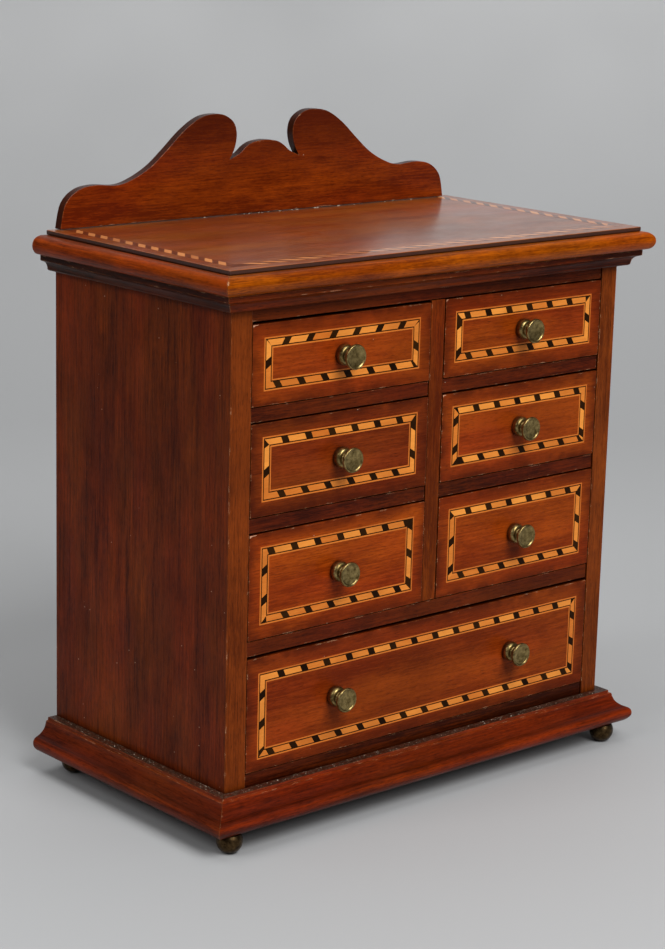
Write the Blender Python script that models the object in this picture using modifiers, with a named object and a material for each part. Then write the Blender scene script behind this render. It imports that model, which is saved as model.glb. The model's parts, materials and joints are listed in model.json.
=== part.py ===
"""Miniature chest of drawers: a mahogany case with seven drawers, turned brass knobs and ball feet.

Metres, +Z up. The drawers pull out along -Y. The origin is on the ground, under the middle of the piece.
"""

import math

import bmesh
import bpy

OBJECT_NAME = "miniature_chest_of_drawers"

# Case
CASE_WIDTH = 0.260
CASE_DEPTH = 0.142
LEFT_SIDE = 0.0125
RIGHT_SIDE = 0.0110
PARTITION = 0.0092
PARTITION_CENTRE_X = 0.0014
BACK_PANEL = 0.004
RAIL_SETBACK = 0.0008
GAP = 0.0003
CUTTER_MARGIN = 0.005

# Heights, from the ground up
FOOT_HEIGHT = 0.0102
PLINTH_HEIGHT = 0.0180
BASE_REBATE = 0.0060
BOTTOM_RAIL = 0.0065
WIDE_OPENING = 0.0596
THIRD_OPENING = 0.0537
SECOND_OPENING = 0.0465
FIRST_OPENING = 0.0410
LOWER_SHELF = 0.0076
SHELF = 0.0073
TOP_RAIL = 0.0066
CORNICE_HEIGHT = 0.0082

# Drawers
DRAWER_CLEARANCE = 0.0004
TOP_CLEARANCE = 0.0007
WORN_TOP_CLEARANCES = {"drawer_first_left": 0.0013, "drawer_second_right": 0.0009, "drawer_wide": 0.0014}
DRAWER_FRONT = 0.0060
DRAWER_LENGTH = 0.1300
DRAWER_WALL = 0.0035
DRAWER_BOTTOM = 0.0020
BOTTOM_RAISE = 0.0015
WALL_DROP = 0.0025
FRONT_SETBACK = 0.0002

# Brass
KNOB_FACE_RADIUS = 0.0063
KNOB_LENGTH = 0.0098
KNOB_X = 0.0610
FOOT_RADIUS = 0.0066
FOOT_FLAT = 0.0003
FOOT_STEPS = 9
FRONT_FOOT_X = 0.1310
BACK_FOOT_X = 0.1275
FRONT_FOOT_FORWARD = 0.0055
BACK_FOOT_INSET = 0.0125
TURNING_STEPS = 20

# Gallery board: knots of its upper edge, from the middle to the right end, as (x, height)
GALLERY_THICKNESS = 0.0050
GALLERY_CENTRE_X = 0.0006
HUMP_KNOTS = ((0.0, 0.0383), (0.0095, 0.0369), (0.0172, 0.0318), (0.0235, 0.0291))
SCROLL_KNOTS = (
    (0.0235, 0.0291),
    (0.0202, 0.0354),
    (0.0191, 0.0424),
    (0.0213, 0.0485),
    (0.0278, 0.0525),
    (0.0360, 0.0531),
    (0.0445, 0.0512),
    (0.0545, 0.0451),
    (0.0650, 0.0361),
    (0.0750, 0.0282),
    (0.0860, 0.0226),
    (0.0960, 0.0200),
    (0.1100, 0.0208),
    (0.1205, 0.0188),
    (0.1280, 0.0122),
    (0.1310, 0.0),
)

# Mouldings, as (distance out from the case, height above the bottom of the moulding)
PLINTH_PROFILE = (
    (0.0086, 0.0000),
    (0.0118, 0.0010),
    (0.0142, 0.0034),
    (0.0149, 0.0058),
    (0.0138, 0.0082),
    (0.0112, 0.0092),
    (0.0090, 0.0110),
    (0.0074, 0.0138),
    (0.0064, 0.0164),
    (0.0053, 0.0167),
    (0.0053, 0.0180),
)
CORNICE_PROFILE = (
    (0.0042, 0.0000),
    (0.0050, 0.0013),
    (0.0054, 0.0031),
    (0.0066, 0.0045),
    (0.0088, 0.0053),
    (0.0092, 0.0056),
    (0.0092, 0.0082),
)
EDGE_PROFILE = (
    (0.0100, 0.0000),
    (0.0122, 0.0009),
    (0.0137, 0.0029),
    (0.0140, 0.0050),
    (0.0132, 0.0074),
    (0.0110, 0.0090),
    (0.0088, 0.0096),
    (0.0082, 0.0098),
    (0.0082, 0.0120),
)

WIDEST_MOULDING = max(out for out, _ in PLINTH_PROFILE)
CASE_FRONT = WIDEST_MOULDING - (CASE_DEPTH + WIDEST_MOULDING) / 2
CASE_BACK = CASE_FRONT + CASE_DEPTH
LEFT = -CASE_WIDTH / 2
RIGHT = CASE_WIDTH / 2
INNER_LEFT = LEFT + LEFT_SIDE
INNER_RIGHT = RIGHT - RIGHT_SIDE
PARTITION_LEFT = PARTITION_CENTRE_X - PARTITION / 2
PARTITION_RIGHT = PARTITION_CENTRE_X + PARTITION / 2
INNER_BACK = CASE_BACK - BACK_PANEL - GAP

PLINTH_TOP = FOOT_HEIGHT + PLINTH_HEIGHT
WIDE_FLOOR = PLINTH_TOP + BOTTOM_RAIL
LOWER_SHELF_Z = WIDE_FLOOR + WIDE_OPENING
THIRD_FLOOR = LOWER_SHELF_Z + LOWER_SHELF
MIDDLE_SHELF_Z = THIRD_FLOOR + THIRD_OPENING
SECOND_FLOOR = MIDDLE_SHELF_Z + SHELF
UPPER_SHELF_Z = SECOND_FLOOR + SECOND_OPENING
FIRST_FLOOR = UPPER_SHELF_Z + SHELF
CASE_TOP_Z = FIRST_FLOOR + FIRST_OPENING
CORNICE_Z = CASE_TOP_Z + TOP_RAIL
CASE_HIGH = CORNICE_Z + CORNICE_HEIGHT
TOP_BOARD_Z = CASE_HIGH + GAP
TOP_SURFACE = TOP_BOARD_Z + EDGE_PROFILE[-1][1]

ROWS = (
    ("first", FIRST_FLOOR, FIRST_OPENING),
    ("second", SECOND_FLOOR, SECOND_OPENING),
    ("third", THIRD_FLOOR, THIRD_OPENING),
)


def clear_scene():
    for obj in list(bpy.data.objects):
        bpy.data.objects.remove(obj, do_unlink=True)


def new_collection(name):
    collection = bpy.data.collections.new(name)
    bpy.context.scene.collection.children.link(collection)
    return collection


def principled(name, colour, roughness, metallic=0.0):
    material = bpy.data.materials.new(name)
    material.use_nodes = True
    shader = material.node_tree.nodes["Principled BSDF"]
    shader.inputs["Base Color"].default_value = (*colour, 1.0)
    shader.inputs["Roughness"].default_value = roughness
    shader.inputs["Metallic"].default_value = metallic
    return material


def add_object(name, mesh, collection, material, parent=None):
    obj = bpy.data.objects.new(name, mesh)
    collection.objects.link(obj)
    mesh.materials.append(material)
    obj.parent = parent
    return obj


def box_mesh(name, low, high):
    """A box between two corners."""
    bm = bmesh.new()
    bmesh.ops.create_cube(bm, size=1.0)
    for vertex in bm.verts:
        for axis in range(3):
            middle = (low[axis] + high[axis]) / 2
            vertex.co[axis] = middle + vertex.co[axis] * (high[axis] - low[axis])
    mesh = bpy.data.meshes.new(name)
    bm.to_mesh(mesh)
    bm.free()
    return mesh


def add_board(name, low, high, collection, material, parent=None):
    """A board between two corners in world metres, under a parent that may be moved off the origin."""
    offset = parent.location if parent else (0.0, 0.0, 0.0)
    low = [low[axis] - offset[axis] for axis in range(3)]
    high = [high[axis] - offset[axis] for axis in range(3)]
    return add_object(name, box_mesh(name, low, high), collection, material, parent)


def add_empty(name, location, collection, parent=None):
    empty = bpy.data.objects.new(name, None)
    empty.empty_display_size = 0.01
    empty.location = location
    empty.parent = parent
    collection.objects.link(empty)
    return empty


def lofted(name, sections):
    """A solid lofted through equal rings of points, one ring for each section."""
    bm = bmesh.new()
    rings = [[bm.verts.new(point) for point in section] for section in sections]
    count = len(rings[0])
    for ring, following in zip(rings, rings[1:]):
        for i in range(count):
            j = (i + 1) % count
            bm.faces.new((ring[i], ring[j], following[j], following[i]))
    bm.faces.new(rings[0])
    bm.faces.new(rings[-1])
    bmesh.ops.recalc_face_normals(bm, faces=bm.faces)
    mesh = bpy.data.meshes.new(name)
    bm.to_mesh(mesh)
    bm.free()
    return mesh


def mitred_frame(name, profile, base_z, height):
    """A moulding round the left side, the front and the right side, mitred at the front corners."""
    outline = list(profile) + [(GAP, height), (GAP, 0.0)]
    corners = (
        (LEFT, CASE_BACK, -1, 0),
        (LEFT, CASE_FRONT, -1, -1),
        (RIGHT, CASE_FRONT, 1, -1),
        (RIGHT, CASE_BACK, 1, 0),
    )
    sections = []
    for x, y, out_x, out_y in corners:
        sections.append([(x + out_x * out, y + out_y * out, base_z + z) for out, z in outline])
    return lofted(name, sections)


def edge_moulded_board(name, profile, base_z):
    """A board whose left, front and right edges follow the profile, with a flat back edge."""
    sections = []
    for out, z in profile:
        left, right = LEFT - out, RIGHT + out
        front = CASE_FRONT - out
        z += base_z
        sections.append([(left, front, z), (right, front, z), (right, CASE_BACK, z), (left, CASE_BACK, z)])
    return lofted(name, sections)


def turned(name, profile, collection, material, location, rotation=(0.0, 0.0, 0.0), parent=None):
    """A turning from a profile of (radius, height) points, top to bottom, both ends on the axis."""
    bm = bmesh.new()
    points = [bm.verts.new((radius, 0.0, height)) for radius, height in profile]
    for start, end in zip(points, points[1:]):
        bm.edges.new((start, end))
    mesh = bpy.data.meshes.new(name)
    bm.to_mesh(mesh)
    bm.free()
    obj = add_object(name, mesh, collection, material, parent)
    obj.location = location
    obj.rotation_euler = rotation
    screw = obj.modifiers.new("Turning", "SCREW")
    screw.steps = TURNING_STEPS
    screw.render_steps = TURNING_STEPS
    screw.use_merge_vertices = True
    screw.merge_threshold = 0.00005
    screw.use_smooth_shade = True
    return obj


def add_cutter(name, low, high, collection):
    cutter = bpy.data.objects.new(name, box_mesh(name, low, high))
    collection.objects.link(cutter)
    cutter.hide_render = True
    cutter.display_type = "WIRE"
    return cutter


def cut(obj, cutter):
    boolean = obj.modifiers.new(cutter.name, "BOOLEAN")
    boolean.operation = "DIFFERENCE"
    boolean.object = cutter


def knob_profile():
    """Dished face with a rim, a narrow neck and a round base, as (radius, height) from the face down."""
    face = KNOB_FACE_RADIUS
    return (
        (0.0, KNOB_LENGTH - 0.0005),
        (face * 0.78, KNOB_LENGTH - 0.0005),
        (face * 0.86, KNOB_LENGTH),
        (face * 0.96, KNOB_LENGTH - 0.0003),
        (face, KNOB_LENGTH - 0.0011),
        (face * 0.92, KNOB_LENGTH - 0.0019),
        (face * 0.60, KNOB_LENGTH - 0.0034),
        (face * 0.44, KNOB_LENGTH - 0.0047),
        (face * 0.50, KNOB_LENGTH - 0.0056),
        (face * 0.76, KNOB_LENGTH - 0.0066),
        (face * 0.82, KNOB_LENGTH - 0.0080),
        (face * 0.80, 0.0),
        (0.0, 0.0),
    )


def foot_profile():
    """A ball cut flat above and below, as (radius, height) from the top down."""
    centre = FOOT_RADIUS - FOOT_FLAT
    top = FOOT_HEIGHT - GAP
    upper = math.asin((top - centre) / FOOT_RADIUS)
    lower = math.asin(centre / FOOT_RADIUS)
    points = [(0.0, top)]
    for step in range(FOOT_STEPS + 1):
        angle = upper - (upper + lower) * step / FOOT_STEPS
        points.append((FOOT_RADIUS * math.cos(angle), centre + FOOT_RADIUS * math.sin(angle)))
    points.append((0.0, 0.0))
    return tuple(points)


def smooth_curve(knots, share):
    """Points along a smooth curve through the knots, with share points to each span."""
    ends = [knots[0], *knots, knots[-1]]
    curve = []
    for before, start, end, after in zip(ends, ends[1:], ends[2:], ends[3:]):
        for step in range(share):
            t = step / share
            point = []
            for a, b, c, d in zip(before, start, end, after):
                slope = c - a + t * (2 * a - 5 * b + 4 * c - d + t * (3 * (b - c) + d - a))
                point.append(b + 0.5 * t * slope)
            curve.append(tuple(point))
    return curve + [knots[-1]]


def gallery_outline():
    """Right half of the gallery's upper edge, from the middle to the end, as (x, height)."""
    return smooth_curve(HUMP_KNOTS, 2)[:-1] + smooth_curve(SCROLL_KNOTS, 2)


def add_gallery(collection, material, base_z):
    """The shaped board that stands along the back of the top."""
    half = gallery_outline()
    outline = half[::-1] + [(-x, z) for x, z in half[1:]]
    curve = bpy.data.curves.new("gallery", "CURVE")
    curve.dimensions = "2D"
    curve.fill_mode = "BOTH"
    curve.extrude = GALLERY_THICKNESS / 2
    spline = curve.splines.new("POLY")
    spline.points.add(len(outline) - 1)
    for point, (x, z) in zip(spline.points, outline):
        point.co = (x, z, 0.0, 1.0)
    spline.use_cyclic_u = True
    curve.materials.append(material)
    obj = bpy.data.objects.new("gallery", curve)
    obj.location = (GALLERY_CENTRE_X, CASE_BACK - GALLERY_THICKNESS / 2, base_z)
    obj.rotation_euler = (math.radians(90), 0.0, 0.0)
    collection.objects.link(obj)


def add_case_boards(collection, cutters, wood, inner_wood):
    """Sides, floor, shelves, partition, sub-top and back."""
    back = CASE_BACK
    front = CASE_FRONT
    rail = front + RAIL_SETBACK
    add_board("left_side", (LEFT, front, FOOT_HEIGHT), (INNER_LEFT, back, CASE_HIGH), collection, wood)
    add_board("right_side", (INNER_RIGHT, front, FOOT_HEIGHT), (RIGHT, back, CASE_HIGH), collection, wood)
    left = INNER_LEFT + GAP
    right = INNER_RIGHT - GAP
    base_z = PLINTH_TOP - BASE_REBATE
    add_board("base_board", (left, rail, base_z), (right, INNER_BACK, WIDE_FLOOR), collection, wood)
    add_board("lower_shelf", (left, rail, LOWER_SHELF_Z), (right, INNER_BACK, THIRD_FLOOR), collection, wood)
    add_board("case_top", (left, rail, CASE_TOP_Z), (right, INNER_BACK, CASE_HIGH), collection, wood)
    add_board(
        "back_panel",
        (left, back - BACK_PANEL, FOOT_HEIGHT),
        (right, back, CASE_HIGH),
        collection,
        inner_wood,
    )
    partition = add_board(
        "partition",
        (PARTITION_LEFT, front + RAIL_SETBACK / 2, THIRD_FLOOR + GAP),
        (PARTITION_RIGHT, INNER_BACK, CASE_TOP_Z - GAP),
        collection,
        wood,
    )
    halving = (rail + INNER_BACK) / 2
    for name, z in (("middle_shelf", MIDDLE_SHELF_Z), ("upper_shelf", UPPER_SHELF_Z)):
        shelf = add_board(name, (left, rail, z), (right, INNER_BACK, z + SHELF), collection, wood)
        shelf_slot = add_cutter(
            name + "_slot",
            (PARTITION_LEFT - GAP, rail - CUTTER_MARGIN, z - CUTTER_MARGIN),
            (PARTITION_RIGHT + GAP, halving + GAP, z + SHELF + CUTTER_MARGIN),
            cutters,
        )
        cut(shelf, shelf_slot)
        partition_slot = add_cutter(
            name + "_halving",
            (PARTITION_LEFT - CUTTER_MARGIN, halving, z - GAP),
            (PARTITION_RIGHT + CUTTER_MARGIN, INNER_BACK + CUTTER_MARGIN, z + SHELF + GAP),
            cutters,
        )
        cut(partition, partition_slot)


def add_mouldings(collection, wood):
    """Plinth, cornice and the moulded top board."""
    plinth = mitred_frame("plinth", PLINTH_PROFILE, FOOT_HEIGHT, PLINTH_HEIGHT)
    add_object("plinth", plinth, collection, wood)
    cornice = mitred_frame("cornice", CORNICE_PROFILE, CORNICE_Z, CORNICE_HEIGHT)
    add_object("cornice", cornice, collection, wood)
    top = edge_moulded_board("top_board", EDGE_PROFILE, TOP_BOARD_Z)
    add_object("top_board", top, collection, wood)


def add_feet(collection, brass):
    """Ball feet under the plinth, one near each corner of the case."""
    front_y = CASE_FRONT - FRONT_FOOT_FORWARD
    back_y = CASE_BACK - BACK_FOOT_INSET
    for name, x, y in (
        ("foot_front_left", -FRONT_FOOT_X, front_y),
        ("foot_front_right", FRONT_FOOT_X, front_y),
        ("foot_back_left", -BACK_FOOT_X, back_y),
        ("foot_back_right", BACK_FOOT_X, back_y),
    ):
        turned(name, foot_profile(), collection, brass, (x, y, 0.0))


def add_drawer(name, x_range, floor, opening, knobs, collection, woods, brass):
    """One drawer: front, two sides, back, bottom and its knobs, under an empty on the slide's axis."""
    front_wood, lining = woods
    left = x_range[0] + DRAWER_CLEARANCE
    right = x_range[1] - DRAWER_CLEARANCE
    low = floor + DRAWER_CLEARANCE
    high = floor + opening - WORN_TOP_CLEARANCES.get(name, TOP_CLEARANCE)
    front = CASE_FRONT + FRONT_SETBACK
    inside = front + DRAWER_FRONT + GAP
    end = front + DRAWER_LENGTH
    drawer = add_empty(name, ((left + right) / 2, front, (low + high) / 2), collection)
    wall_low = low + GAP
    wall_high = high - WALL_DROP
    wall = DRAWER_WALL
    inner_left = left + wall + GAP
    inner_right = right - wall - GAP
    bottom_z = wall_low + BOTTOM_RAISE
    bottom_high = bottom_z + DRAWER_BOTTOM
    for part, start, finish, wood in (
        ("front", (left, front, low), (right, front + DRAWER_FRONT, high), front_wood),
        ("side_left", (left, inside, wall_low), (left + wall, end, wall_high), lining),
        ("side_right", (right - wall, inside, wall_low), (right, end, wall_high), lining),
        ("back", (inner_left, end - wall, wall_low), (inner_right, end, wall_high), lining),
        ("bottom", (inner_left, inside, bottom_z), (inner_right, end - wall - GAP, bottom_high), lining),
    ):
        add_board(f"{name}_{part}", start, finish, collection, wood, drawer)
    for knob_name, x in knobs:
        location = (x - drawer.location.x, -GAP, 0.0)
        turned(knob_name, knob_profile(), collection, brass, location, (math.radians(90), 0.0, 0.0), drawer)


def add_drawers(collection, woods, brass):
    """Three graduated pairs over one wide drawer."""
    columns = (
        ("left", (INNER_LEFT, PARTITION_LEFT), -KNOB_X),
        ("right", (PARTITION_RIGHT, INNER_RIGHT), KNOB_X),
    )
    for row, floor, opening in ROWS:
        for side, x_range, knob_x in columns:
            name = f"drawer_{row}_{side}"
            add_drawer(name, x_range, floor, opening, ((name + "_knob", knob_x),), collection, woods, brass)
    knobs = (("drawer_wide_knob_left", -KNOB_X), ("drawer_wide_knob_right", KNOB_X))
    add_drawer(
        "drawer_wide", (INNER_LEFT, INNER_RIGHT), WIDE_FLOOR, WIDE_OPENING, knobs, collection, woods, brass
    )


def main():
    clear_scene()
    parts = new_collection(OBJECT_NAME)
    cutters = new_collection("cutters")
    case_wood = principled("case_mahogany", (0.20, 0.065, 0.025), 0.35)
    front_wood = principled("drawer_front_mahogany", (0.36, 0.11, 0.04), 0.38)
    lining = principled("drawer_lining", (0.45, 0.27, 0.14), 0.65)
    brass = principled("aged_brass", (0.36, 0.30, 0.16), 0.42, 1.0)
    add_case_boards(parts, cutters, case_wood, lining)
    add_mouldings(parts, case_wood)
    add_gallery(parts, case_wood, TOP_SURFACE + GAP)
    add_feet(parts, brass)
    add_drawers(parts, (front_wood, lining), brass)


main()
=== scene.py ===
"""Looks of the miniature chest of drawers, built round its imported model.

Metres, +Z up. The drawers pull out along -Y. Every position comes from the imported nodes.
"""

import json
import math
import random

import bmesh
import bpy
from mathutils import Matrix, Vector, noise


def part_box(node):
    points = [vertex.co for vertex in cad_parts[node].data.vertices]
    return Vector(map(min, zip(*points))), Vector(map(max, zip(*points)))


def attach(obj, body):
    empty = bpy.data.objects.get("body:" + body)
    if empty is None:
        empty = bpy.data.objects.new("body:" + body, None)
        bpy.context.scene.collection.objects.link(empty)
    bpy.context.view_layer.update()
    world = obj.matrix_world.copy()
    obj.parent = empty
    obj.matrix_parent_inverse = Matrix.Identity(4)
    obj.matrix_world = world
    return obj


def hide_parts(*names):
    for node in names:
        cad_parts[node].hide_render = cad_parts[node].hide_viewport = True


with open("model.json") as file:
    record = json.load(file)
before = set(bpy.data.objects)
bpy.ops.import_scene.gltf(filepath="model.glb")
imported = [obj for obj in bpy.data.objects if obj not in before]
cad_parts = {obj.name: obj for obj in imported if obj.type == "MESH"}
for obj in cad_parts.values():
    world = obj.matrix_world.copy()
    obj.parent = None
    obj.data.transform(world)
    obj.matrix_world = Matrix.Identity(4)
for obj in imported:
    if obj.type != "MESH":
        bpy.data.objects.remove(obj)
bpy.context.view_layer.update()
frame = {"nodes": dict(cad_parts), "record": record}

CASE = "carcass"

# Brightness of each drawer's front against the mean, from the top row down
DRAWER_WARMTH = {
    "drawer_first_left": 1.0,
    "drawer_first_right": 1.0,
    "drawer_second_left": 0.86,
    "drawer_second_right": 0.97,
    "drawer_third_left": 1.08,
    "drawer_third_right": 1.03,
    "drawer_wide": 0.95,
}
DRAWERS = tuple(DRAWER_WARMTH)

# Length of the chip at the upper left corner of some fronts
CHIP_LENGTHS = {
    "drawer_first_left": 0.0034,
    "drawer_first_right": 0.0016,
    "drawer_second_right": 0.0022,
    "drawer_third_left": 0.0046,
}

# Packed boxes and the faces of the case
LEFT_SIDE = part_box("left_side")
RIGHT_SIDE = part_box("right_side")
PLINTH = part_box("plinth")
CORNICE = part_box("cornice")
TOP_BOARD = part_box("top_board")
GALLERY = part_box("gallery")
LEFT = LEFT_SIDE[0].x
RIGHT = RIGHT_SIDE[1].x
FRONT = LEFT_SIDE[0].y
BACK = LEFT_SIDE[1].y

# Camera: place in metres, angles in radians, and the width it sees one metre away
CAMERA_PLACE = (-0.8214, -0.9257, 0.4586)
CAMERA_YAW = 0.7195
CAMERA_PITCH = 0.2402
CAMERA_ROLL = 0.0256
FIELD_WIDTH = 0.2733

# Inlay on the drawer fronts
BAND_INSET = 0.0070
BAND_WIDTH = 0.0054
LINE_WIDTH = 0.0007
BLOCK_WIDTH = 0.0029
BLOCK_PITCH = 0.0147
EBONY_LENGTH = 0.0042
BLOCK_LEAN = BLOCK_WIDTH * 0.62
TOP_BLOCK_LEAN = BLOCK_LEAN * 0.7
BAND_RAISE = 0.0004
WIDE_BAND_DROP = 0.0012
BAND_SEED = 5

# Depth of an inlay's foot under the surface, and the height of its top above
INLAY_SUNK = 0.0004
INLAY_PROUD = 0.00004

# Shortest block that is laid
SLIVER = 0.0002

# Rope banding on the top, whose run along the back is left out
ROPE_INSET = 0.0072
ROPE_WIDTH = 0.0060
ROPE_PITCH = 0.0106
ROPE_DARK = 0.0048
ROPE_SLANT = 0.0074
ROPE_BACK_GAP = 0.0003
ROPE_BED_SHOWING = 0.0004
ROPE_SEED = 17
BACK_RUN = 2

# Gaps and mitres of the mouldings, the waver of their planed faces, and the raised panel
MOULDING_GAP = 0.0003
MITRE_JOINT = 0.00007
WAVER = 0.00007
WAVER_STEP = 0.004
EDGE_DEPTH = 0.012
PANEL_GAP = 0.0001
PANEL_OVERHANG = 0.0082
PANEL_LEAN = 0.0026

# Softening of the arrises
CASE_ARRIS = 0.00035
FRONT_ARRIS = 0.0004
LINING_ARRIS = 0.0003
PANEL_ARRIS = 0.0005
GALLERY_ARRIS = 0.0011

# Crumbs of glue and dust
GLUE_CRUMBS = 26
GLUE_SEED = 23
DUST_CRUMBS = 150
DUST_SEED = 31

# Pins of the fronts between the tails of the drawer sides
PIN_LENGTH = 0.0042
PIN_HALF_WIDE = 0.0016
PIN_HALF_NARROW = 0.0008
PIN_MARGIN = 0.0001
DEEP_DRAWER = 0.036

# Chip at a corner as (share of its length, height), and how far in from the corner it starts
CHIP = ((0.0, 0.0), (1.0, 0.0), (0.72, -0.00035), (0.40, -0.00030), (0.22, -0.00075), (0.0, -0.0011))
CHIP_INSET = 0.00015

# Nut behind each knob, as (radius, height)
NUT = ((0.0, 0.0016), (0.0012, 0.0016), (0.0019, 0.0011), (0.0021, 0.0), (0.0, 0.0))

# How much the flat under each ball foot cuts off, and the steps down its round side
FOOT_FLAT = 0.0003
FOOT_STEPS = 18

# Nails up each edge of the back panel
NAILS = 6
NAIL_INSET = 0.004
NAIL_END = 0.012
NAIL_DEPTH = 0.00016

# Paper sweep behind and under the chest, painted paler up the wall as painted light
SWEEP_HALF_WIDTH = 5.0
SWEEP_NEAR = -5.0
SWEEP_FAR = 1.6
SWEEP_BEND = 0.8
SWEEP_HIGH = 3.0
SWEEP_STEPS = 12
FLOOR_PAPER = (0.39, 0.395, 0.40)
PAINTED_LIT_WALL_PAPER = (0.66, 0.665, 0.67)

# Moulding runs as (distance out from the case, height above the moulding's foot); runs meet in an arris
PLINTH_RUNS = (
    ((0.0086, 0.0), (0.0118, 0.0009), (0.0142, 0.0032), (0.0149, 0.0056), (0.0140, 0.0080), (0.0117, 0.0092)),
    ((0.0117, 0.0092), (0.0108, 0.0096)),
    ((0.0108, 0.0096), (0.0086, 0.0114), (0.0073, 0.0138), (0.0066, 0.0163)),
    ((0.0066, 0.0163), (0.0055, 0.0166)),
    ((0.0055, 0.0166), (0.0053, 0.0180)),
)
CORNICE_RUNS = (
    ((0.0042, 0.0), (0.0049, 0.0007), (0.0050, 0.0014)),
    ((0.0050, 0.0014), (0.0055, 0.0031), (0.0067, 0.0045), (0.0086, 0.0052)),
    ((0.0086, 0.0052), (0.0092, 0.0056)),
    ((0.0092, 0.0056), (0.0092, 0.0082)),
)
EDGE_RUNS = (
    (
        (0.0100, 0.0),
        (0.0122, 0.0008),
        (0.0136, 0.0027),
        (0.0140, 0.0049),
        (0.0133, 0.0073),
        (0.0112, 0.0090),
        (0.0088, 0.0096),
    ),
)

# Painted light and shade up the plinth: painted light on the round, painted shade at the arris and in the
# cove, a painted highlight on the rim
PLINTH_PAINTED_LIGHT = (
    (0.0, (0.35, 0.30, 0.28)),
    (0.16, (1.0, 0.95, 0.9)),
    (0.38, (1.2, 1.15, 1.1)),
    (0.50, (0.30, 0.28, 0.30)),
    (0.58, (0.55, 0.50, 0.48)),
    (0.86, (0.90, 0.86, 0.84)),
    (0.93, (1.15, 1.2, 1.2)),
)

# Slow drift of the mahogany's hue along a board, as factors on its colour
REDDER = (1.0, 0.86, 1.0)
BROWNER = (1.0, 1.18, 0.84)

# Upper edge of the gallery board, from its middle to its right end, as (x, height)
HUMP = (
    (0.0, 0.0383),
    (0.0052, 0.0379),
    (0.0095, 0.0369),
    (0.0135, 0.0347),
    (0.0172, 0.0318),
    (0.0235, 0.0291),
)
SCROLL = (
    (0.0235, 0.0291),
    (0.0202, 0.0354),
    (0.0191, 0.0424),
    (0.0213, 0.0485),
    (0.0278, 0.0525),
    (0.0360, 0.0531),
    (0.0445, 0.0512),
    (0.0545, 0.0451),
    (0.0650, 0.0361),
    (0.0750, 0.0282),
    (0.0860, 0.0226),
    (0.0960, 0.0200),
    (0.1100, 0.0208),
    (0.1205, 0.0188),
    (0.1280, 0.0122),
    (0.1310, 0.0),
)


def display(red, green, blue):
    """A colour in the scene's light units from its 0-255 screen values."""
    return [(c / 255) ** 2.2 for c in (red, green, blue)]


# Wear and dirt, with painted shade darkening the corners, the same on every varnished board
RUBBED = display(168, 96, 50)
CHIPPED = display(214, 172, 134)
# Dirt and painted shade in corners and gaps
DIRT_AND_SHADE = display(20, 11, 7)
SPECK = display(206, 178, 150)
DARK_EDGE = display(46, 23, 13)
# Colours of the dusty film, which on the top's round edge is also a painted grey sheen
DUST_AND_SHEEN_DARK = display(40, 30, 24)
DUST_AND_SHEEN_PALE = display(150, 132, 112)
LINING_CORNER_DARK = (0.05, 0.03, 0.018)
BRASS_DIRT = (0.035, 0.022, 0.010)


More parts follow.
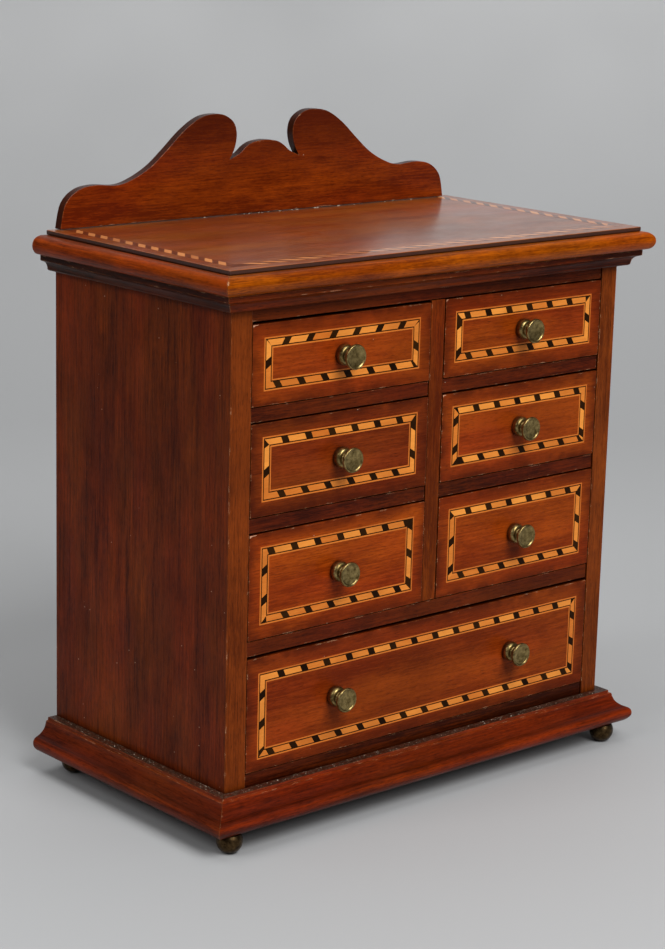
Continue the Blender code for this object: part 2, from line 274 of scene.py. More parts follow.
class Graph:
    """Short forms for wiring one material's nodes."""

    def __init__(self, name):
        self.material = bpy.data.materials.new(name)
        self.material.use_nodes = True
        self.nodes = self.material.node_tree.nodes
        self.links = self.material.node_tree.links
        self.shader = self.nodes["Principled BSDF"]
        self.place = self.add("ShaderNodeTexCoord").outputs["Object"]

    def add(self, kind, inputs=None, **settings):
        node = self.nodes.new(kind)
        for key, value in settings.items():
            setattr(node, key, value)
        for key, value in (inputs or {}).items():
            self.put(node.inputs[key], value)
        return node

    def put(self, socket, value):
        if isinstance(value, bpy.types.NodeSocket):
            self.links.new(value, socket)
        else:
            socket.default_value = value

    def maths(self, operation, a, b=0.0):
        return self.add("ShaderNodeMath", {0: a, 1: b}, operation=operation).outputs[0]

    def mix(self, share, a, b, blend="MIX"):
        node = self.add("ShaderNodeMix", data_type="RGBA", blend_type=blend)
        self.put(node.inputs[0], share)
        self.put(node.inputs[6], a if isinstance(a, bpy.types.NodeSocket) else (*a, 1.0))
        self.put(node.inputs[7], b if isinstance(b, bpy.types.NodeSocket) else (*b, 1.0))
        return node.outputs[2]

    def steps(self, value, low, high, to_low=0.0, to_high=1.0):
        """A value taken from the range low..high to another, and held at its ends."""
        sockets = {0: value, 1: low, 2: high, 3: to_low, 4: to_high}
        return self.add("ShaderNodeMapRange", sockets, clamp=True).outputs[0]

    def ramp(self, value, stops):
        node = self.add("ShaderNodeValToRGB", {0: value})
        elements = node.color_ramp.elements
        while len(elements) < len(stops):
            elements.new(0.5)
        for element, (position, colour) in zip(elements, stops):
            element.position = position
            element.color = (*colour, 1.0)
        return node.outputs["Color"]

    def stretched(self, across, along, grain, seed):
        """Object coordinates in units of a feature's size across and along the grain."""
        scale = [1.0 / (along if axis == grain else across) for axis in "XYZ"]
        scaled = self.add("ShaderNodeVectorMath", {0: self.place, 1: scale}, operation="MULTIPLY").outputs[0]
        shift = (seed * 7.31, seed * 3.17, seed * 5.53)
        return self.add("ShaderNodeVectorMath", {0: scaled, 1: shift}, operation="ADD").outputs[0]

    def noise(self, vector, detail=2.0, rough=0.5, distortion=0.0):
        sockets = {
            "Vector": vector,
            "Scale": 1.0,
            "Detail": detail,
            "Roughness": rough,
            "Distortion": distortion,
        }
        return self.add("ShaderNodeTexNoise", sockets).outputs[0]

    def edges(self, radius):
        """Near 1 along outer edges, from how far a rounded normal leans from the true one."""
        rounded = self.add("ShaderNodeBevel", {"Radius": radius}, samples=4).outputs[0]
        true = self.add("ShaderNodeNewGeometry").outputs["Normal"]
        dot = self.add("ShaderNodeVectorMath", {0: rounded, 1: true}, operation="DOT_PRODUCT")
        return self.steps(dot.outputs["Value"], 0.97, 0.80)

    def crevices(self, distance):
        """Near 1 in corners and gaps."""
        occlusion = self.add("ShaderNodeAmbientOcclusion", {"Distance": distance}, samples=6).outputs["AO"]
        return self.steps(occlusion, 0.80, 0.25)

    def specks(self, seed):
        """Sparse pale dots, about half a millimetre across."""
        spread = self.stretched(0.009, 0.009, "X", seed)
        cells = self.add("ShaderNodeTexVoronoi", {"Vector": spread, "Scale": 1.0})
        chosen = self.add("ShaderNodeSeparateColor", {0: cells.outputs["Color"]}).outputs["Red"]
        near = self.steps(cells.outputs["Distance"], 0.035, 0.020)
        return self.maths("MULTIPLY", near, self.steps(chosen, 0.78, 0.80, 0.0, 0.7))

    def bump(self, height, distance, strength):
        sockets = {"Height": height, "Distance": distance, "Strength": strength}
        return self.add("ShaderNodeBump", sockets).outputs["Normal"]

    def finish(self, colour, roughness, normal=None, **constants):
        self.put(self.shader.inputs["Base Color"], colour)
        self.put(self.shader.inputs["Roughness"], roughness)
        if normal:
            self.put(self.shader.inputs["Normal"], normal)
        for name, value in constants.items():
            self.shader.inputs[name.replace("_", " ")].default_value = value
        return self.material


def axis_of(g, axis):
    """Position along an axis of the frame, in metres."""
    return g.add("ShaderNodeSeparateXYZ", {0: g.place}).outputs[axis]


def facing(g, axis):
    """How squarely a face is turned along an axis, with its sign."""
    normal = g.add("ShaderNodeNewGeometry").outputs["Normal"]
    return g.add("ShaderNodeSeparateXYZ", {0: normal}).outputs[axis]


def border(g, low, high):
    """Distance in from the nearest edge of an upright rectangle."""
    outside = []
    for axis, start, end in (("X", low.x, high.x), ("Z", low.z, high.z)):
        offset = g.maths("ABSOLUTE", g.maths("SUBTRACT", axis_of(g, axis), (start + end) / 2))
        outside.append(g.maths("SUBTRACT", offset, (end - start) / 2))
    return g.maths("MULTIPLY", g.maths("MAXIMUM", *outside), -1.0)


def ribbon(g, grain, seed):
    """Tone and fine grain of mahogany: broad figure, streaks, blotches, grain and flecks."""
    fine = g.noise(g.stretched(0.0009, 0.020, grain, seed + 2), 3.0, 0.6)
    layers = (
        (g.noise(g.stretched(0.030, 0.30, grain, seed), 2.0, 0.5, 0.6), 0.30),
        (g.noise(g.stretched(0.0032, 0.09, grain, seed + 1), 3.0, 0.55, 0.2), 0.13),
        (fine, 0.29),
        (g.noise(g.stretched(0.011, 0.018, grain, seed + 7), 3.0, 0.6, 0.5), 0.13),
        (g.noise(g.stretched(0.0005, 0.0032, grain, seed + 8), 2.0, 0.6), 0.15),
    )
    tone = 0.0
    for layer, share in layers:
        tone = g.maths("ADD", g.maths("MULTIPLY", layer, share), tone)
    return tone, fine


def age(g, colour, dark, grain, seed, wear, grime_and_shade):
    """Clouded varnish, rubbed and chipped arrises, dirt and painted shade in the corners and pale specks.

    Also returns the noise that breaks up the wear.
    """
    cloud = g.noise(g.stretched(0.05, 0.07, grain, seed + 4), 3.0, 0.6)
    colour = g.mix(g.steps(cloud, 0.40, 0.75, 0.0, 0.5), colour, [c * 0.55 for c in dark])
    patch = g.noise(g.stretched(0.0018, 0.006, grain, seed + 5), 4.0, 0.65)
    rubbed = g.maths("MULTIPLY", g.edges(0.0008), g.steps(patch, 0.40, 0.60))
    colour = g.mix(g.maths("MULTIPLY", rubbed, wear), colour, RUBBED)
    chipped = g.maths("MULTIPLY", g.edges(0.0012), g.steps(patch, 0.59, 0.63))
    colour = g.mix(g.maths("MULTIPLY", chipped, wear), colour, CHIPPED)
    # Dirt and painted shade, darkest where ambient occlusion finds corners and gaps
    colour = g.mix(g.maths("MULTIPLY", g.crevices(grime_and_shade), 0.85), colour, DIRT_AND_SHADE)
    return g.mix(g.specks(seed), colour, SPECK), patch


def figured(g, tone, dark, light, grain, seed, spread):
    """Colour of the figure, drifting slowly between redder and browner."""
    middle = [a * 0.5 + b * 0.5 for a, b in zip(dark, light)]
    colour = g.ramp(tone, ((0.50 - spread, dark), (0.50, middle), (0.50 + spread, light)))
    drift = g.noise(g.stretched(0.028, 0.10, grain, seed + 11), 2.0, 0.5)
    return g.mix(0.85, colour, g.ramp(drift, ((0.38, REDDER), (0.62, BROWNER))), "MULTIPLY")


def handled(g, colour, dark, rim, grain, seed):
    """Dark patches from handling round the border of a drawer's front."""
    stain = g.noise(g.stretched(0.012, 0.016, grain, seed + 9), 3.0, 0.6)
    near_border = g.steps(border(g, *rim), 0.0075, 0.0004)
    share = g.maths("MULTIPLY", near_border, g.steps(stain, 0.32, 0.60, 0.25, 0.95))
    return g.mix(share, colour, [c * 0.45 for c in dark])


def dusted_and_sheened(g, colour, patch, dust_and_sheen, film_from, grain, seed):
    """A broken dusty film on level faces, from a height upwards; on the top's round edge it is also a painted
    grey sheen.
    """
    laid = g.steps(facing(g, "Z"), 0.86, 0.97, 0.0, dust_and_sheen)
    laid = g.maths("MULTIPLY", laid, g.steps(axis_of(g, "Z"), film_from - 0.0001, film_from))
    speckle = g.noise(g.stretched(0.0007, 0.0010, grain, seed + 10), 3.0, 0.7)
    film = g.mix(g.steps(speckle, 0.55, 0.70, 0.0, 0.8), DUST_AND_SHEEN_DARK, DUST_AND_SHEEN_PALE)
    return g.mix(g.maths("MULTIPLY", laid, g.steps(patch, 0.30, 0.55, 0.55, 1.0)), colour, film)


def wood(
    name,
    dark,
    light,
    grain,
    seed,
    gloss=0.34,
    coat=0.03,
    level=0.06,
    wear=0.7,
    grime_and_shade=0.0035,
    dust_and_sheen=0.0,
    film_from=0.0,
    painted_plinth_light=False,
    stile=None,
    fade=None,
    rim=None,
    broad=None,
    spread=0.07,
):
    """Varnished mahogany, from its dark and light tones and the axis of its grain.

    dust_and_sheen: share of a dusty film on level faces, above the height film_from; on the top's round edge
    the film is also a painted grey sheen.
    hollow: painted light and shade up the plinth, with painted shade in its cove.
    stile: tones of the front edge.
    fade: darker upwards between two heights.
    rim: box whose front is handled dark round its border.
    broad: axis of the faces that stay light.
    spread: how far the tone may range before it is held.
    """
    g = Graph(name)
    tone, fine = ribbon(g, grain, seed)
    colour = figured(g, tone, dark, light, grain, seed, spread)
    if fade:
        colour = g.mix(g.steps(axis_of(g, "Z"), *fade, 0.0, 0.72), colour, [c * 0.42 for c in dark])
    if stile:
        lit = g.ramp(tone, ((0.43, stile[0]), (0.57, stile[1])))
        colour = g.mix(g.steps(axis_of(g, "Y"), FRONT + 0.0008, FRONT + 0.0004), colour, lit)
    if rim:
        colour = handled(g, colour, dark, rim, grain, seed)
    pores = g.steps(g.noise(g.stretched(0.00032, 0.0042, grain, seed + 3), 1.0, 0.5), 0.58, 0.70)
    colour = g.mix(g.maths("MULTIPLY", pores, 0.5), colour, [c * 0.35 for c in dark])
    colour, patch = age(g, colour, dark, grain, seed, wear, grime_and_shade)
    if broad:
        turned_away = g.steps(g.maths("ABSOLUTE", facing(g, broad)), 0.75, 0.35, 0.0, 0.9)
        colour = g.mix(turned_away, colour, DARK_EDGE)
    if painted_plinth_light:
        # Painted light and shade up the plinth, multiplied into its colour
        height = g.steps(axis_of(g, "Z"), PLINTH[0].z, PLINTH[1].z)
        colour = g.mix(0.85, colour, g.ramp(height, PLINTH_PAINTED_LIGHT), "MULTIPLY")
    # Dusty film on level faces, also a painted grey sheen on the top's round edge
    if dust_and_sheen:
        colour = dusted_and_sheened(g, colour, patch, dust_and_sheen, film_from, grain, seed)
    smudge = g.noise(g.stretched(0.018, 0.03, grain, seed + 6), 3.0, 0.6)
    roughness = g.steps(smudge, 0.35, 0.70, gloss, gloss + 0.16)
    height = g.maths("SUBTRACT", g.maths("MULTIPLY", fine, 0.6), g.maths("MULTIPLY", pores, 0.7))
    normal = g.bump(height, 0.00005, 0.7)
    return g.finish(
        colour,
        roughness,
        normal,
        Coat_Weight=coat,
        Coat_Roughness=0.16,
        Specular_IOR_Level=level,
    )


def bare_wood(name, dark, light, grain, seed):
    """Unvarnished drawer and back timber, dry and a little darker in the corners."""
    g = Graph(name)
    streak = g.noise(g.stretched(0.005, 0.14, grain, seed), 4.0, 0.6, 0.4)
    fine = g.noise(g.stretched(0.0006, 0.016, grain, seed + 1), 3.0, 0.6)
    tone = g.maths("ADD", g.maths("MULTIPLY", streak, 0.6), g.maths("MULTIPLY", fine, 0.4))
    colour = g.ramp(tone, ((0.34, dark), (0.66, light)))
    stain = g.noise(g.stretched(0.028, 0.05, grain, seed + 2), 3.0, 0.6)
    colour = g.mix(g.steps(stain, 0.5, 0.8, 0.0, 0.35), colour, [c * 0.6 for c in dark])
    # Darker in corners and gaps, where ambient occlusion finds them
    colour = g.mix(g.maths("MULTIPLY", g.crevices(0.005), 0.6), colour, LINING_CORNER_DARK)
    roughness = g.steps(fine, 0.3, 0.7, 0.62, 0.80)
    return g.finish(colour, roughness, g.bump(fine, 0.00006, 0.8), Specular_IOR_Level=0.3)


def stringing(name, dark, light, seed, level=0.2, coat=0.0):
    """Inlaid wood: each block a slightly different piece, under the same varnish as the front."""
    g = Graph(name)
    piece = g.add("ShaderNodeNewGeometry").outputs["Random Per Island"]
    fine = g.noise(g.stretched(0.0006, 0.006, "X", seed), 3.0, 0.6)
    tone = g.maths("ADD", g.maths("MULTIPLY", piece, 0.55), g.maths("MULTIPLY", fine, 0.45))
    colour = g.ramp(tone, ((0.15, dark), (0.80, light)))
    cloud = g.noise(g.stretched(0.02, 0.03, "X", seed + 1), 2.0, 0.5)
    colour = g.mix(g.steps(cloud, 0.45, 0.80, 0.0, 0.5), colour, [c * 0.6 for c in dark])
    roughness = g.steps(fine, 0.3, 0.7, 0.38, 0.52)
    normal = g.bump(fine, 0.00003, 0.5)
    return g.finish(colour, roughness, normal, Specular_IOR_Level=level, Coat_Weight=coat)


def aged_brass(name, dark, light, seed, shine):
    """Dull lacquered brass with brown in the hollows and brighter rubbed rims."""
    g = Graph(name)
    mottle = g.noise(g.stretched(0.0022, 0.0022, "Z", seed), 4.0, 0.65)
    colour = g.ramp(mottle, ((0.32, dark), (0.68, light)))
    rim = g.maths("MULTIPLY", g.edges(0.0005), 0.75)
    colour = g.mix(rim, colour, [min(1.0, c * 1.8) for c in light])
    colour = g.mix(g.maths("MULTIPLY", g.crevices(0.003), 0.85), colour, BRASS_DIRT)
    speck = g.noise(g.stretched(0.0005, 0.0005, "Z", seed + 2), 2.0, 0.5)
    roughness = g.steps(mottle, 0.3, 0.7, shine + 0.12, shine)
    normal = g.bump(g.maths("ADD", speck, mottle), 0.00004, 0.6)
    return g.finish(colour, roughness, normal, Metallic=1.0)


def plain_stage(name, floor, wall, rough):
    """Paper sweep, painted paler up the wall as painted light."""
    g = Graph(name)
    tooth = g.noise(g.stretched(0.3, 0.3, "X", 3), 2.0, 0.5)
    # Painted light: the paper paler up the wall than on the floor
    paper_with_painted_light = g.mix(g.steps(axis_of(g, "Z"), 0.0, 0.5), floor, wall)
    return g.finish(g.mix(tooth, paper_with_painted_light, floor), rough)


def case_woods():
    """Finishes of the sides, the rails and the partition."""
    side = (display(64, 26, 12), display(124, 52, 20))
    left_stile = (display(86, 37, 10), display(130, 60, 20))
    right_stile = (display(96, 42, 12), display(144, 69, 24))
    rail = (display(52, 20, 8), display(102, 41, 15))
    partition = (display(92, 36, 8), display(142, 62, 16))
    return {
        "side": wood("side_wood", *side, "Z", 1, 0.38, stile=left_stile, spread=0.09),
        "side_right": wood("side_right_wood", *side, "Z", 2, 0.38, stile=right_stile, spread=0.09),
        "rail": wood("rail_wood", *rail, "X", 3),
        "partition": wood("partition_wood", *partition, "Z", 4),
    }


def top_woods():
    """Finishes of the top panel, its edge and the gallery."""
    lobes = (GALLERY[0].z + 0.018, GALLERY[0].z + 0.050)
    panel = (display(112, 50, 14), display(160, 82, 28))
    gallery = (display(94, 32, 7), display(146, 58, 14))
    edge_front = (display(106, 44, 3), display(176, 84, 8))
    edge_side = (display(88, 35, 9), display(148, 62, 16))
    return {
        "panel": wood("panel_wood", *panel, "X", 5, 0.30, 0.72, 0.25, 0.9, dust_and_sheen=0.16, broad="Z"),
        "gallery": wood("gallery_wood", *gallery, "X", 6, 0.30, 0.25, wear=0.9, fade=lobes, broad="Y"),
        # On the round edge the dusty film is also a painted grey sheen along the top
        "edge_x": wood("edge_front_wood", *edge_front, "X", 9, 0.28, 0.14, dust_and_sheen=0.3),
        "edge_y": wood("edge_side_wood", *edge_side, "Y", 10, 0.30, 0.08, dust_and_sheen=0.35),
    }


def moulding_woods():
    """Finishes of the cornice and the plinth, along the front and along the sides."""
    cornice_front = (display(56, 22, 8), display(118, 48, 14))
    cornice_side = (display(36, 16, 8), display(78, 34, 16))
    plinth_front = (display(74, 27, 9), display(132, 48, 15))
    plinth_side = (display(62, 25, 13), display(114, 47, 22))
    # The plinth's wear and dusty film, and its painted light and shade
    plinth_wear_dust_and_light = {"wear": 0.45, "dust_and_sheen": 0.9, "film_from": PLINTH[1].z - 0.0004, "painted_plinth_light": True}
    return {
        # The cornice takes a wider reach of dirt and painted shade in its recesses
        "cornice_x": wood("cornice_front_wood", *cornice_front, "X", 7, coat=0.08, grime_and_shade=0.006),
        "cornice_y": wood("cornice_side_wood", *cornice_side, "Y", 8, coat=0.08, grime_and_shade=0.006),
        "plinth_x": wood("plinth_front_wood", *plinth_front, "X", 11, coat=0.12, **plinth_wear_dust_and_light),
        "plinth_y": wood("plinth_side_wood", *plinth_side, "Y", 12, coat=0.06, **plinth_wear_dust_and_light),
    }


def drawer_woods():
    """Finish of each drawer's front."""
    finishes = {}
    for place, drawer in enumerate(DRAWERS):
        warm = DRAWER_WARMTH[drawer]
        dark = display(114 * warm, 43 * warm, 10)
        light = display(158 * warm, 66 * warm, 20)
        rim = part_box(drawer + "_front")
        finishes[drawer] = wood(drawer + "_wood", dark, light, "X", 50 + 8 * place, rim=rim)
    return finishes


def bare_woods():
    """Finishes of the linings, the pins, the back, the chipped corners and the crumbs."""
    lining_cross = (display(122, 78, 46), display(168, 118, 74))
    lining_length = (display(118, 74, 42), display(164, 114, 70))
    pin = (display(70, 28, 10), display(112, 50, 20))
    back = (display(70, 42, 26), display(112, 72, 46))
    chipped = (display(176, 104, 70), display(232, 184, 150))
    glue = (display(170, 150, 130), display(226, 212, 194))
    return {
        "lining_x": bare_wood("lining_cross_wood", *lining_cross, "X", 20),
        "lining_y": bare_wood("lining_length_wood", *lining_length, "Y", 21),
        "dovetail": bare_wood("dovetail_wood", *pin, "Z", 24),
        "back": bare_wood("back_wood", *back, "Z", 22),
        "chip": bare_wood("chipped_wood", *chipped, "X", 44),
        "glue": bare_wood("dried_glue", *glue, "X", 43),
    }


def inlay_woods():
    """Finishes of the inlay: bright on the fronts, faded on the top."""
    boxwood = (display(200, 103, 32), display(246, 154, 64))
    line = (display(182, 90, 28), display(220, 122, 46))
    ebony = (display(30, 17, 5), display(54, 33, 12))
    faded_boxwood = (display(172, 98, 50), display(222, 146, 86))
    faded_ebony = (display(78, 36, 14), display(110, 54, 23))
    return {
        "boxwood": stringing("boxwood", *boxwood, 30),
        "line": stringing("boxwood_line", *line, 31),
        "ebony": stringing("ebony", *ebony, 32, 0.05),
        "faded_boxwood": stringing("faded_boxwood", *faded_boxwood, 33, 0.25, 0.72),
        "faded_ebony": stringing("faded_ebony", *faded_ebony, 34, 0.25, 0.72),
    }


def metals():
    """Finishes of the knobs, the feet, and the nuts and nails."""
    return {
        "knob": aged_brass("knob_brass", display(90, 74, 42), display(168, 146, 96), 40, 0.28),
        "foot": aged_brass("foot_brass", display(46, 35, 24), display(94, 75, 50), 41, 0.34),
        "steel": aged_brass("nail_steel", display(58, 54, 50), display(110, 106, 100), 42, 0.45),
    }


FINISH = {
    **case_woods(),
    **top_woods(),
    **moulding_woods(),
    **drawer_woods(),
    **bare_woods(),
    **inlay_woods(),
    **metals(),
}


def add_piece(name, mesh, finish, body, replaced=()):
    """A new piece that rides on a body and takes its finish from a slot."""
    obj = bpy.data.objects.new(name, mesh)
    bpy.context.scene.collection.objects.link(obj)
    for key in [finish] if isinstance(finish, str) else finish:
        mesh.materials.append(FINISH[key])
    if replaced:
        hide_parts(*replaced)
    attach(obj, body)
    return obj


def mesh_from(name, bm, angle=None):
    """A mesh from bmesh data, smooth up to the given angle."""
    bmesh.ops.recalc_face_normals(bm, faces=bm.faces)
    mesh = bpy.data.meshes.new(name)
    bm.to_mesh(mesh)
    bm.free()
    if angle:
        mesh.shade_smooth()
        mesh.set_sharp_from_angle(angle=math.radians(angle))
    return mesh


def add_box(bm, low, high):
    """A box between two corners, added to bmesh data."""
    for vertex in bmesh.ops.create_cube(bm, size=1.0)["verts"]:
        for axis in range(3):
            middle = (low[axis] + high[axis]) / 2
            vertex.co[axis] = middle + vertex.co[axis] * (high[axis] - low[axis])


def tipped(place, degrees):
    """Stands a turning at a place with its axis tipped about X."""
    return Matrix.Translation(place) @ Matrix.Rotation(math.radians(degrees), 4, "X")


def join_rings(bm, ring, following):
    """Faces between two closed rings with the same number of points."""
    for i in range(len(ring)):
        j = (i + 1) % len(ring)
        bm.faces.new((ring[i], ring[j], following[j], following[i]))


def soften(obj, width, segments=2):
    """Rounded arrises on a piece whose mesh has split corners."""
    weld = obj.modifiers.new("Weld", "WELD")
    weld.merge_threshold = 0.00001
    bevel = obj.modifiers.new("Arris", "BEVEL")
    bevel.width = width
    bevel.segments = segments
    bevel.limit_method = "ANGLE"
    bevel.angle_limit = math.radians(40)
    bevel.harden_normals = True


def smooth_run(points, share=5):
    """Points along a rounded curve through the given ones."""
    if len(points) < 3:
        return list(points)
    ends = [points[0], *points, points[-1]]
    curve = []
    for before, start, end, after in zip(ends, ends[1:], ends[2:], ends[3:]):
        for step in range(share):
            t = step / share
            pair = []
            for axis in range(2):
                a, b, c, d = before[axis], start[axis], end[axis], after[axis]
                cubic = (3 * (b - c) + d - a) * t + 2 * a - 5 * b + 4 * c - d
                pair.append(b + 0.5 * t * (c - a + t * cubic))
            curve.append(tuple(pair))
    return curve + [points[-1]]


def profile_points(runs, inner):
    """A moulding's closed section: its runs from the foot up, then the flat back."""
    outline = []
    for run in runs:
        outline += [point for point in smooth_run(run) if point not in outline]
    height = outline[-1][1]
    return outline + [(inner, height), (inner, 0.0)]


def wavering_rings(bm, start, end, count, inward, base_z):
    """Rings of points from one end section to the other, the moulded faces a little uneven."""
    rings = []
    for step in range(count + 1):
        t = step / count
        ring = []
        for i, (a, b) in enumerate(zip(start, end)):
            point = a.lerp(b, t)
            if 0 < step < count and i < len(start) - 2:
                waver = noise.noise(Vector((point.x * 55, point.y * 55, i * 0.21 + base_z * 90)))
                point = point + inward * WAVER * (waver + 1)
            ring.append(bm.verts.new(point))
        rings.append(ring)
    return rings


def moulded_length(name, runs, base_z, ends, inner, finish, replaced=()):
    """One hand-planed length of moulding between two ends, mitred where an end says so."""
    outline = profile_points(runs, inner)
    sections = []
    for x, y, out_x, out_y in ends:
        section = [Vector((x + out_x * out, y + out_y * out, base_z + z)) for out, z in outline]
        sections.append(section)
    start, end = sections
    span = end[0] - start[0]
    count = max(8, int(span.length / WAVER_STEP))
    along = span.normalized()
    joint = along * MITRE_JOINT
    start = [point + joint for point in start]
    end = [point - joint for point in end]
    if abs(along.x) > 0.5:
        inward = Vector((0.0, 1.0, 0.0))
    else:
        inward = Vector((1.0 if start[0].x < 0 else -1.0, 0.0, 0.0))
    bm = bmesh.new()
    rings = wavering_rings(bm, start, end, count, inward, base_z)
    for ring, following in zip(rings, rings[1:]):
        join_rings(bm, ring, following)
    bm.faces.new(rings[0])
    bm.faces.new(rings[-1])
    add_piece(name, mesh_from(name, bm, 28), finish, CASE, replaced)


def moulded_frame(name, runs, base_z, inner, finish, node):
    """Left, front and right lengths round the case, meeting in mitres at the front corners."""
    back_left = (LEFT, BACK, -1, 0)
    front_left = (LEFT, FRONT, -1, -1)
    front_right = (RIGHT, FRONT, 1, -1)
    back_right = (RIGHT, BACK, 1, 0)
    moulded_length(name + "_left", runs, base_z, (back_left, front_left), inner, finish + "_y", (node,))
    moulded_length(name + "_front", runs, base_z, (front_left, front_right), inner, finish + "_x")
    moulded_length(name + "_right", runs, base_z, (front_right, back_right), inner, finish + "_y")


def tapered(point, low, high):
    """A point of the raised panel, whose left end leans inwards towards the back."""
    rightward = (point[0] - low[0]) / (high[0] - low[0])
    backward = (point[1] - low[1]) / (high[1] - low[1])
    return Vector((point[0] + PANEL_LEAN * (1 - rightward) * backward, point[1], point[2]))


def add_mouldings():
    """Plinth and cornice, each in three lengths."""
    gap = MOULDING_GAP
    moulded_frame("plinth_moulding", PLINTH_RUNS, PLINTH[0].z, gap, "plinth", "plinth")
    moulded_frame("cornice_moulding", CORNICE_RUNS, CORNICE[0].z, gap, "cornice", "cornice")


def add_top():
    """The top: a round edge in three lengths about a core, under a raised panel with its banding."""
    base = TOP_BOARD[0].z
    moulded_frame("top_edge", EDGE_RUNS, base, -EDGE_DEPTH, "edge", "top_board")
    panel_foot = base + EDGE_RUNS[0][-1][1] + PANEL_GAP
    core = bmesh.new()
    core_low = (LEFT + EDGE_DEPTH, FRONT + EDGE_DEPTH, base)
    add_box(core, core_low, (RIGHT - EDGE_DEPTH, BACK, panel_foot - PANEL_GAP))
    add_piece("top_core", mesh_from("top_core", core), "back", CASE)
    panel = bmesh.new()
    low = (LEFT - PANEL_OVERHANG, FRONT - PANEL_OVERHANG, panel_foot)
    high = (RIGHT + PANEL_OVERHANG, BACK, TOP_BOARD[1].z)
    add_box(panel, low, high)
    for vertex in panel.verts:
        vertex.co = tapered(vertex.co, low, high)
    piece = add_piece("top_panel", mesh_from("top_panel", panel), "panel", CASE)
    soften(piece, PANEL_ARRIS)
    add_top_banding(low, high)


def add_gallery():
    """The shaped board along the back, with worn round edges."""
    crown = GALLERY[1].z - GALLERY[0].z
    half = [(x, min(z, crown)) for x, z in smooth_run(HUMP, 3)[:-1] + smooth_run(SCROLL, 6)]
    middle = (GALLERY[0].x + GALLERY[1].x) / 2
    outline = [(middle - x, z) for x, z in half[:0:-1]] + [(middle + x, z) for x, z in half]
    bm = bmesh.new()
    front, back = GALLERY[0].y, GALLERY[1].y
    base = GALLERY[0].z
    near = [bm.verts.new((x, front, base + z)) for x, z in outline]
    far = [bm.verts.new((x, back, base + z)) for x, z in outline]
    bm.faces.new(near)
    bm.faces.new(far)
    join_rings(bm, near, far)
    mesh = mesh_from("gallery_board", bm, 30)
    obj = add_piece("gallery_board", mesh, "gallery", CASE, ("gallery",))
    soften(obj, GALLERY_ARRIS, 4)


def add_glue():
    """Crumbs of old glue and filler along the foot of the gallery."""
    chance = random.Random(GLUE_SEED)
    bm = bmesh.new()
    for _ in range(GLUE_CRUMBS):
        x = chance.triangular(-0.10, 0.12, 0.055)
        size = chance.uniform(0.00015, 0.00040)
        made = bmesh.ops.create_icosphere(bm, subdivisions=1, radius=size)["verts"]
        turn = Matrix.Rotation(chance.uniform(0, math.pi), 4, "Z")
        shape = Matrix.Diagonal((chance.uniform(1.0, 3.2), 1.0, 0.6, 1.0))
        y = GALLERY[0].y - chance.uniform(0.0, 0.0005)
        place = Matrix.Translation((x, y, TOP_BOARD[1].z + size * 0.3))
        bmesh.ops.transform(bm, matrix=place @ shape @ turn, verts=made)
    add_piece("gallery_glue", mesh_from("gallery_glue", bm, 60), "glue", CASE)


def add_ledge_dust():
    """Crumbs of dust caught on the ledge of the plinth, along its front and left side."""
    chance = random.Random(DUST_SEED)
    bm = bmesh.new()
    for number in range(DUST_CRUMBS):
        out = chance.uniform(0.0008, 0.0044)
        if number % 3:
            place = Vector((chance.uniform(LEFT, RIGHT), FRONT - out, PLINTH[1].z))
        else:
            place = Vector((LEFT - out, chance.uniform(FRONT, BACK - 0.002), PLINTH[1].z))
        size = chance.triangular(0.00008, 0.00030, 0.00012)
        made = bmesh.ops.create_icosphere(bm, subdivisions=1, radius=size)["verts"]
        shape = Matrix.Diagonal((chance.uniform(0.8, 1.8), chance.uniform(0.8, 1.8), 0.7, 1.0))
        bmesh.ops.transform(bm, matrix=Matrix.Translation(place) @ shape, verts=made)
    add_piece("ledge_dust", mesh_from("ledge_dust", bm, 60), "glue", CASE)


def prism(bm, polygon, depth, place, material_index):
    """A thin block with the given outline on a surface.

    place turns (across, up, depth) into metres.
    """
    top = [bm.verts.new(place(u, v, depth[1])) for u, v in polygon]
    foot = [bm.verts.new(place(u, v, depth[0])) for u, v in polygon]
    faces = [bm.faces.new(top), bm.faces.new(foot[::-1])]
    for i in range(len(polygon)):
        j = (i + 1) % len(polygon)
        faces.append(bm.faces.new((top[i], foot[i], foot[j], top[j])))
    for face in faces:
        face.material_index = material_index


def mitred_strips(corners, offset, width):
    """Four strips of a rectangular frame, as outlines; corners run round the rectangle."""
    (left, low), (right, high) = corners

    def ring(inset):
        x_range = (left + inset, right - inset)
        y_range = (low + inset, high - inset)
        return [(x_range[i], y_range[j]) for i, j in ((0, 0), (1, 0), (1, 1), (0, 1))]

    outer, inner = ring(offset), ring(offset + width)
    return [(outer[i], outer[(i + 1) % 4], inner[(i + 1) % 4], inner[i]) for i in range(4)]


def block_row(strip, pitch, dark_length, slant, phase):
    """(outline, is_dark) for each block along one mitred strip."""
    outer_start, outer_end, inner_end, inner_start = (Vector(point) for point in strip)
    along = (outer_end - outer_start).normalized()
    across = (inner_start - outer_start) - along * (inner_start - outer_start).dot(along)
    width = across.length
    length = (outer_end - outer_start).length
    across = across.normalized()
    cuts = [phase - pitch]
    while cuts[-1] < length + pitch:
        cuts += [cuts[-1] + pitch - dark_length, cuts[-1] + pitch]
    for index, (begin, finish) in enumerate(zip(cuts, cuts[1:])):
        begin_outer = max(0.0, begin)
        finish_outer = min(length, finish)
        begin_inner = max(width, begin + slant)
        finish_inner = min(length - width, finish + slant)
        if min(finish_outer - begin_outer, finish_inner - begin_inner) < SLIVER:
            continue
        corners = ((begin_outer, 0), (finish_outer, 0), (finish_inner, width), (begin_inner, width))
        yield [outer_start + along * s + across * t for s, t in corners], index % 2 == 1


